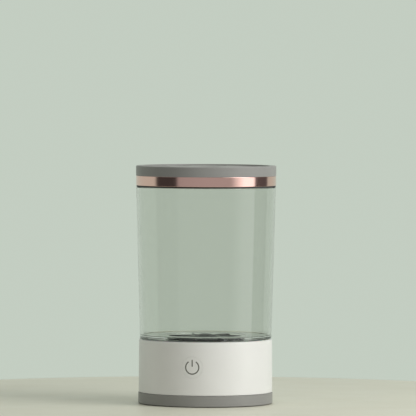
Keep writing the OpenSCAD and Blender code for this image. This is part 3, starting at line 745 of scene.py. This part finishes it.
def make_bottom_cover():
    """Grey base: a rim, a lip that enters the housing, and recesses for the feet and screws underneath."""
    under = low_z("bottom_cover")
    lip_z = HOUSING_FOOT_Z + 2.5 * MM
    cover = lathe("bottom_cover_shell", rounded([
        (0, under), (COVER_R, under, 0.6 * MM), (COVER_R, HOUSING_FOOT_Z, 0.3 * MM),
        (COVER_LIP_R[1], HOUSING_FOOT_Z), (COVER_LIP_R[1], lip_z, 0.3 * MM),
        (COVER_LIP_R[0], lip_z, 0.3 * MM), (COVER_LIP_R[0], COVER_FLOOR_Z, 1 * MM), (0, COVER_FLOOR_Z),
    ], 6), FINE_STEPS)
    board_z = low_z("main_board")
    posts = [column("post", 2.5 * MM, COVER_FLOOR_Z - 0.5 * MM, board_z, spot, 48) for spot in BOARD_POSTS]
    switch_low, switch_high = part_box("switch_board")
    for side in (-1, 1):
        inner, outer = sorted(side * x for x in UPRIGHT_X)
        posts.append(block("upright", (inner, switch_low.y - 1.5 * MM, COVER_FLOOR_Z - 0.5 * MM),
                           (outer, switch_high.y + 1.5 * MM, switch_high.z - 9.6 * MM)))
    boolean(cover, [gather("posts", posts)], "UNION")
    cutters = [column("foot", FOOT_R + 0.1 * MM, under - PAST, 2 * MM, spot) for spot in FOOT_SPOTS]
    head_r, head_top, shank_r = 3 * MM, 2.2 * MM, 1.6 * MM
    cutters += [lathe("head", [(0, under - PAST), (head_r, under - PAST), (head_r, head_top),
                               (shank_r, head_top), (shank_r, COVER_FLOOR_Z + PAST),
                               (0, COVER_FLOOR_Z + PAST)], 48, spot)
                for spot in BOSS_SPOTS]
    cutters += [column("pilot", 0.9 * MM, 6 * MM, board_z + PAST, spot, 24) for spot in BOARD_POSTS]
    cutters.append(block("groove", (-GROOVE_X, switch_low.y - 0.05 * MM, switch_low.z),
                         (GROOVE_X, switch_high.y + 0.05 * MM, switch_high.z)))
    boolean(cover, [gather("recesses", cutters)])
    place(cover, "base", GREY, "grey_plastic", "bottom_cover")


def make_feet():
    """Rubber feet with a rounded tread and two shallow grooves."""
    top = high_z("rubber_foot_1")
    groove_depth, groove_edge = 0.3 * MM, 0.1 * MM
    for k, spot in enumerate(FOOT_SPOTS):
        foot = lathe(f"foot_pad_{k + 1}", rounded([
            (0, 0), (1.4 * MM, 0), (1.6 * MM, groove_depth, groove_edge),
            (2.0 * MM, groove_depth, groove_edge), (2.2 * MM, 0),
            (3.0 * MM, 0), (3.2 * MM, groove_depth, groove_edge),
            (3.6 * MM, groove_depth, groove_edge), (3.8 * MM, 0),
            (FOOT_R, 0, 0.4 * MM), (FOOT_R, top, 0.2 * MM), (0, top),
        ], 4), 72, spot)
        place(foot, "base", RUBBER, "rubber", f"rubber_foot_{k + 1}")


# ---- impeller ----


def make_impeller():
    """Black rotor: a disc with a scalloped rim, pockets for the magnets, and six blades along arcs."""
    low = low_z("impeller_rotor")
    disc_top = low_z("impeller_cap")
    rim_top = disc_top - 0.4 * MM
    rim_r = radius("impeller_rotor")
    bore_top = high_z("impeller_bushing")
    rotor = lathe("impeller_rotor_bladed", rounded([
        (BUSHING_R, low), (rim_r, low, 0.25 * MM), (rim_r, rim_top, 0.45 * MM),
        (DISC_RAISED_R + 0.4 * MM, rim_top, 0.3 * MM), (DISC_RAISED_R, disc_top, 0.3 * MM),
        (SPINDLE_CLEAR_R, disc_top), (SPINDLE_CLEAR_R, bore_top), (BUSHING_R, bore_top),
    ]), 180)
    hollows = [column("scallop", SCALLOP_R, low - PAST, rim_top + PAST, spot, 48)
               for spot in ring_spots(rim_r + SCALLOP_R / 2, SCALLOP_COUNT)]
    hollows += [column("pocket", MAGNET_POCKET_R, low - PAST, high_z("impeller_magnet_1"), spot, 48)
                for spot in MAGNET_SPOTS]
    boolean(rotor, [gather("hollows", hollows)])
    blades = [spun(make_blade(low + 0.6 * MM, high_z("impeller_rotor")), math.tau * k / BLADE_COUNT)
              for k in range(BLADE_COUNT)]
    boolean(rotor, [gather("blades", blades)], "UNION")
    place(rotor, "impeller", IMPELLER, "impeller_plastic", "impeller_rotor")


def make_impeller_cap():
    """The low domed hub that closes the rotor over its spindle."""
    low, top = low_z("impeller_cap"), high_z("impeller_cap")
    under = CUP_FLOOR_Z + 0.25 * MM
    cap = lathe("impeller_hub_cap", rounded([
        (SPINDLE_CLEAR_R, low), (HUB_R, low, 0.1 * MM), (HUB_R, low + 0.4 * MM, 0.2 * MM),
        (HUB_R / 2, top - 0.35 * MM, 4 * MM), (0, top),
        (0, under + 0.15 * MM), (SPINDLE_CLEAR_R, under),
    ], 8), 96)
    place(cap, "impeller", IMPELLER, "impeller_plastic", "impeller_cap")


def make_blade(low, high):
    """A blade along an arc from the hub to the rim, thinner at its ends and rounded on top."""
    hub_x, tip_x, bow = HUB_R + 0.7 * MM, radius("impeller_rotor") - 1 * MM, 10 * MM
    middle = (hub_x + tip_x) / 2
    arc_r = math.hypot(tip_x - middle, bow)
    half_turn = math.atan2(tip_x - middle, bow)
    steps = 20
    bm = bmesh.new()
    rings = []
    for k in range(steps + 1):
        t = k / steps
        a = math.pi / 2 + half_turn * (1 - 2 * t)
        ends = min(1.0, 4 * min(t, 1 - t) + 0.45)
        half_t = 0.6 * MM * ends
        top = low + (high - low) * (0.75 + 0.25 * ends)
        edge_r = 0.8 * half_t
        section = rounded([(-half_t, low), (half_t, low), (half_t, top, edge_r), (-half_t, top, edge_r)], 4)
        rings.append([bm.verts.new((middle + (arc_r + w) * math.cos(a), (arc_r + w) * math.sin(a) - bow, z))
                      for w, z in section])
    return skin("blade", bm, rings)


make_cup()
make_seat_gasket()
make_lid_cover()
make_petals()
make_lid_carrier()
make_lid_ring()
make_lid_seal()
make_housing()
make_bottom_cover()
make_feet()
make_impeller()
make_impeller_cap()


# ---- floor, lights and camera ----

CAMERA_AZIMUTH = math.radians(11.4)  # how far right of the power button the camera stands
CAMERA_DISTANCE = 3.474
CAMERA_HEIGHT = 0.2504
CAMERA_VIEW = math.radians(4.89)  # a long lens
CAMERA_ROLL = math.radians(0.2)
AIM_RIGHT = 0.0014
AIM_HEIGHT = 0.1394
SENSOR = 36.0  # millimetres, as Blender counts a camera's sensor
LIGHT_AIM_HEIGHT = 0.09
FLOOR_R = 0.29
FLOOR_T = 6 * MM
WALL = (0.548, 0.614, 0.537)  # the pale sage behind the object
CEILING = (0.62, 0.63, 0.60)
CEILING_RISE = (0.35, 0.75)  # the height, as a direction's z, over which the room becomes the ceiling


def make_camera():
    """A long lens, a little above the cup and to the right of the power button."""
    data = bpy.data.cameras.new("camera")
    camera = bpy.data.objects.new("camera", data)
    bpy.context.scene.collection.objects.link(camera)
    data.sensor_width = SENSOR
    data.lens = SENSOR / 2 / math.tan(CAMERA_VIEW / 2)
    data.clip_start, data.clip_end = 0.1, 20.0
    right = Vector((math.cos(CAMERA_AZIMUTH), math.sin(CAMERA_AZIMUTH), 0))
    back = Vector((math.sin(CAMERA_AZIMUTH), -math.cos(CAMERA_AZIMUTH), 0))
    camera.location = back * CAMERA_DISTANCE + Vector((0, 0, CAMERA_HEIGHT))
    aim = right * AIM_RIGHT + Vector((0, 0, AIM_HEIGHT))
    facing = (aim - camera.location).to_track_quat("-Z", "Y")
    camera.rotation_euler = (facing @ Quaternion((0, 0, 1), CAMERA_ROLL)).to_euler()
    bpy.context.scene.camera = camera


def make_area_light(name, azimuth, elevation, distance, width, height, power):
    """A softbox that faces the cup. Azimuth 0 is the camera's side, and positive is to its right."""
    a = CAMERA_AZIMUTH + math.radians(azimuth)
    e = math.radians(elevation)
    data = bpy.data.lights.new(name, "AREA")
    data.shape = "RECTANGLE"
    data.size, data.size_y = width, height
    data.energy = power
    light = bpy.data.objects.new(name, data)
    bpy.context.scene.collection.objects.link(light)
    out = Vector((math.sin(a) * math.cos(e), -math.cos(a) * math.cos(e), math.sin(e)))
    aim = Vector((0, 0, LIGHT_AIM_HEIGHT))
    light.location = aim + out * distance
    light.rotation_euler = (-out).to_track_quat("-Z", "Y").to_euler()


def make_room():
    """What gloss reflects and what lights the scene, as (azimuth from the camera's side, colour) pairs."""
    dark_left, dark_right = (0.05, 0.05, 0.048), (0.092, 0.088, 0.088)
    front, side = (0.42, 0.42, 0.41), (0.38, 0.38, 0.37)
    half_box, softbox = (0.95, 0.95, 0.93), (1.5, 1.5, 1.48)
    return [
        (-180, WALL), (-94, WALL), (-88, dark_left), (-51, dark_left), (-46, side), (0, front),
        (42, front), (54, half_box), (66, softbox), (86, softbox), (89, dark_right), (119, dark_right),
        (123, WALL), (180, WALL),
    ]


def make_world():
    """The studio. Seen directly or through the cup it is one pale sage. What it lights and what shows in
    gloss has a softbox on the right, dark cards at both sides and a dim room in front."""
    world = bpy.data.worlds.new("studio")
    bpy.context.scene.world = world
    world.use_nodes = True
    tree = world.node_tree
    nodes, links = tree.nodes, tree.links

    split = nodes.new("ShaderNodeSeparateXYZ")
    links.new(nodes.new("ShaderNodeTexCoord").outputs["Generated"], split.inputs["Vector"])
    x, y, z = split.outputs
    angle = math_node(tree, "ARCTAN2", x, math_node(tree, "MULTIPLY", y, -1.0))
    wrapped = math_node(tree, "WRAP", math_node(tree, "SUBTRACT", angle, CAMERA_AZIMUTH), math.pi)
    wrapped.node.inputs[2].default_value = -math.pi
    position = math_node(tree, "ADD", math_node(tree, "MULTIPLY", wrapped, 1 / math.tau), 0.5)
    ramp = nodes.new("ShaderNodeValToRGB")
    links.new(position, ramp.inputs["Fac"])
    elements = ramp.color_ramp.elements
    while len(elements) > 1:
        elements.remove(elements[-1])
    for k, (azimuth, colour) in enumerate(make_room()):
        spot = azimuth / 360 + 0.5
        element = elements[0] if k == 0 else elements.new(spot)
        element.position = spot
        element.color = (*colour, 1.0)

    up = nodes.new("ShaderNodeMapRange")
    up.interpolation_type = "SMOOTHSTEP"
    up.inputs["From Min"].default_value, up.inputs["From Max"].default_value = CEILING_RISE
    links.new(z, up.inputs["Value"])
    lit = mix_node(tree, up.outputs["Result"], ramp.outputs["Color"], CEILING)
    path = nodes.new("ShaderNodeLightPath")
    through = math_node(tree, "GREATER_THAN", path.outputs["Transmission Depth"], 0.5)
    seen = math_node(tree, "MAXIMUM", path.outputs["Is Camera Ray"], through)
    links.new(mix_node(tree, seen, lit, WALL), nodes["Background"].inputs["Color"])


def make_stage():
    """The table, the studio and the key light."""
    floor = lathe("floor", rounded([
        (0, -FLOOR_T), (FLOOR_R, -FLOOR_T, 1 * MM), (FLOOR_R, 0, 2 * MM), (0, 0)]))
    floor.data.materials.append(make_floor())
    make_world()
    make_area_light("key", azimuth=60, elevation=34, distance=1.3, width=0.8, height=0.9, power=10.2)


make_stage()
make_camera()
bpy.context.scene.view_settings.view_transform = "Standard"
